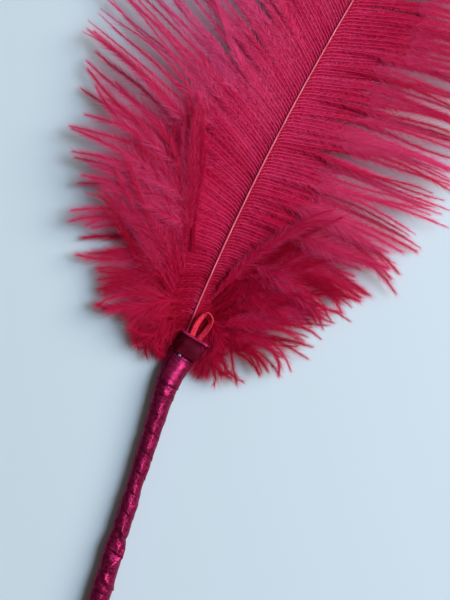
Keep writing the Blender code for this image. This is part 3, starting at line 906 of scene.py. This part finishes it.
# The paler copy of the satin for the rolled edge is painted highlight.
collar_piece.data.materials.append(satin_material(
    "maroon_satin_painted_highlight", (0.16, 0.004, 0.030), (0.46, 0.024, 0.120), COLLAR_RIBBON, 0.0010, 0.32,
    0.0002, Metallic=0.3, Specular_Tint=(1.0, 0.15, 0.45, 1)))


# Ribbon loop ----------------------------------------------------------------------------------
# A small loop of narrow bright red satin ribbon, its ends glued inside the collar. It lies flat
# at both legs and turns on edge round its top.

LOOP_WIDTH = 0.0021
LOOP_THICKNESS = 0.0004
LOOP_STEPS = 90
LOOP_STEP_RUN = 0.00045             # length of ribbon in one step
LOOP_DOME = 0.0002
LOOP_ROUTE = (  # centre line from the collar, and the twist in degrees
    ((0.0000, -0.0041, 0.0054), 0), ((0.0046, -0.0038, 0.0062), 0), ((0.0102, -0.0042, 0.0078), 10),
    ((0.0140, -0.0056, 0.0090), 40), ((0.0156, -0.0074, 0.0095), 70), ((0.0136, -0.0093, 0.0092), 60),
    ((0.0098, -0.0087, 0.0082), 25), ((0.0050, -0.0070, 0.0064), 5), ((0.0002, -0.0066, 0.0054), 0),
)


def smooth_route(points, place):
    """A point on a smooth curve through all of the route's points; place counts along them."""
    index = min(int(place), len(points) - 2)
    part = place - index
    before, here, there, after = (
        points[min(max(near, 0), len(points) - 1)] for near in range(index - 1, index + 3))
    return 0.5 * (2 * here + (there - before) * part + (2 * before - 5 * here + 4 * there - after)
                  * part ** 2 + (3 * here - before - 3 * there + after) * part ** 3)


def ribbon_loop_mesh():
    """The loop's ribbon as a grid along the route, slightly domed across."""
    base = Vector((collar.x, collar.y, 0))
    route = [Vector((*(base + Vector(point)), math.radians(twist))) for point, twist in LOOP_ROUTE]
    path = [smooth_route(route, step * (len(route) - 1) / LOOP_STEPS) for step in range(LOOP_STEPS + 1)]
    bm = bmesh.new()
    uv = bm.loops.layers.uv.new("UVMap")
    grid = bmesh.ops.create_grid(bm, x_segments=LOOP_STEPS, y_segments=6, size=0.5)["verts"]
    shares = {vert: (round((vert.co.x + 0.5) * LOOP_STEPS), vert.co.y) for vert in grid}
    for vert, (step, across) in shares.items():
        place = path[step]
        ahead = (path[min(step + 1, LOOP_STEPS)] - path[max(step - 1, 0)]).xyz.normalized()
        level = upright.cross(ahead).normalized()
        wide = level * math.cos(place.w) + ahead.cross(level) * math.sin(place.w)
        dome = ahead.cross(wide) * LOOP_DOME * (0.25 - across ** 2)
        vert.co = place.xyz + wide * across * LOOP_WIDTH + dome
        for loop in vert.link_loops:
            loop[uv].uv = (step * LOOP_STEP_RUN, (across + 0.5) * LOOP_WIDTH)
    bmesh.ops.recalc_face_normals(bm, faces=bm.faces)
    return shaded_mesh("red_loop", bm, 60)


red_satin = satin_material(
    "red_satin_ribbon", (0.42, 0.002, 0.020), (1.0, 0.052, 0.115), LOOP_WIDTH, 0.0005, 0.36, 0.0009,
    Specular_IOR_Level=0.5, Specular_Tint=(1.0, 0.55, 0.60, 1))
red_loop = make_piece("red_loop", ribbon_loop_mesh(), red_satin, "red_satin", "ribbon_loop")
cloth = red_loop.modifiers.new("cloth", "SOLIDIFY")
cloth.thickness = LOOP_THICKNESS
cloth.offset = 0


# Glue bead and stick --------------------------------------------------------------------------
# A clear drop squeezed out under the collar, and the plain round stick hidden in the wrapping.

def clear_glue():
    """Clear glue, tinted bluish as a painted reflection for the glint it shows."""
    material, tree, shader = principled("clear_glue", 0.16, Transmission_Weight=0.7, IOR=1.47)
    painted_glint = add_node(tree, "ShaderNodeGroup", node_tree=grain_group, Cells=(1800, 1800, 1800), Detail=2.0)
    color = color_ramp(tree, painted_glint.outputs["Grain"], (0.0, (0.30, 0.42, 0.90)), (1.0, (0.55, 0.68, 1.0)))
    tree.links.new(color, shader.inputs["Base Color"])
    return material


def stick_wood():
    """Plain pale wood with a lengthwise grain."""
    material, tree, shader = principled("stick_wood", 0.6)
    grain = add_node(tree, "ShaderNodeGroup", node_tree=grain_group, Cells=(40, 1500, 1500), Detail=4.0)
    color = color_ramp(tree, grain.outputs["Grain"], (0.0, (0.42, 0.27, 0.14)), (1.0, (0.72, 0.55, 0.36)))
    tree.links.new(color, shader.inputs["Base Color"])
    return material


for node, finish in (("glue_bead", clear_glue()), ("handle_core", stick_wood())):
    for material_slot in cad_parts[node].material_slots:
        material_slot.material = finish


# The surface, the light and the view ------------------------------------------------------------
# A plain pale table, a broad soft window light from the plume's right, and a camera above.

VIEW_TURN = math.radians(17.6)      # the handle leans this far from upright in the view
VIEW_CENTRE = collar + Vector((0.0226, -0.0118, 0))
VIEW_HEIGHT = 0.234                 # metres of the handle's level from the view's lower to upper edge
LENS = 75.0
SENSOR = 36.0
TABLE_COLOR = (0.50, 0.605, 0.70)
# Each light: its place from the view's centre (right, up the view, above), size, watts and colour.
WINDOW = ((2.24, 0.60, 1.54), 1.62, 71, (1.0, 0.91, 0.82))
SKYLIGHT = ((1.51, 0.15, 2.55), 1.26, 66, (0.76, 0.90, 1.0))

view_up = Matrix.Rotation(VIEW_TURN, 3, "Z") @ lengthwise
view_right = view_up.cross(upright)
camera_data = bpy.data.cameras.new("camera")
camera_data.lens = LENS
camera_data.sensor_width = SENSOR
camera = bpy.data.objects.new("camera", camera_data)
distance = VIEW_HEIGHT * LENS / SENSOR
camera.matrix_world = Matrix.Translation(VIEW_CENTRE + upright * distance) @ Matrix((
    view_right, view_up, upright)).transposed().to_4x4()
bpy.context.scene.collection.objects.link(camera)
bpy.context.scene.camera = camera


def flat_stage():
    """A wide flat table under the part, at height 0."""
    bm = bmesh.new()
    bmesh.ops.create_grid(bm, x_segments=1, y_segments=1, size=3)
    mesh = bpy.data.meshes.new("table")
    bm.to_mesh(mesh)
    bm.free()
    material, tree, shader = principled("table_paint", 0.6)
    shader.inputs["Base Color"].default_value = (*TABLE_COLOR, 1)
    mesh.materials.append(material)
    table = bpy.data.objects.new("table", mesh)
    bpy.context.scene.collection.objects.link(table)


def soft_light(name, where, size, power, color):
    """A round soft light that looks at the view's centre."""
    data = bpy.data.lights.new(name, "AREA")
    data.shape = "DISK"
    data.size = size
    data.energy = power
    data.color = color
    right, up, above = where
    place = VIEW_CENTRE + view_right * right + view_up * up + upright * above
    turn = (place - VIEW_CENTRE).to_track_quat("Z", "Y").to_matrix().to_4x4()
    light = bpy.data.objects.new(name, data)
    light.matrix_world = Matrix.Translation(place) @ turn
    bpy.context.scene.collection.objects.link(light)


flat_stage()
soft_light("window", *WINDOW)
soft_light("skylight", *SKYLIGHT)

# The room is a little brighter on the window's side.
world = bpy.data.worlds.new("room")
world.use_nodes = True
room = world.node_tree
direction = add_node(room, "ShaderNodeTexCoord")
towards = add_node(room, "ShaderNodeVectorMath", operation="DOT_PRODUCT")
towards.inputs[1].default_value = view_right
dimming = add_node(room, "ShaderNodeMapRange", From_Min=-1, To_Min=0.04, To_Max=0.36)
room.links.new(direction.outputs["Generated"], towards.inputs[0])
room.links.new(towards.outputs["Value"], dimming.inputs["Value"])
background = room.nodes["Background"]
background.inputs["Color"].default_value = (1.0, 0.80, 0.66, 1)
room.links.new(dimming.outputs[0], background.inputs["Strength"])
bpy.context.scene.world = world
bpy.context.scene.view_settings.view_transform = "Standard"
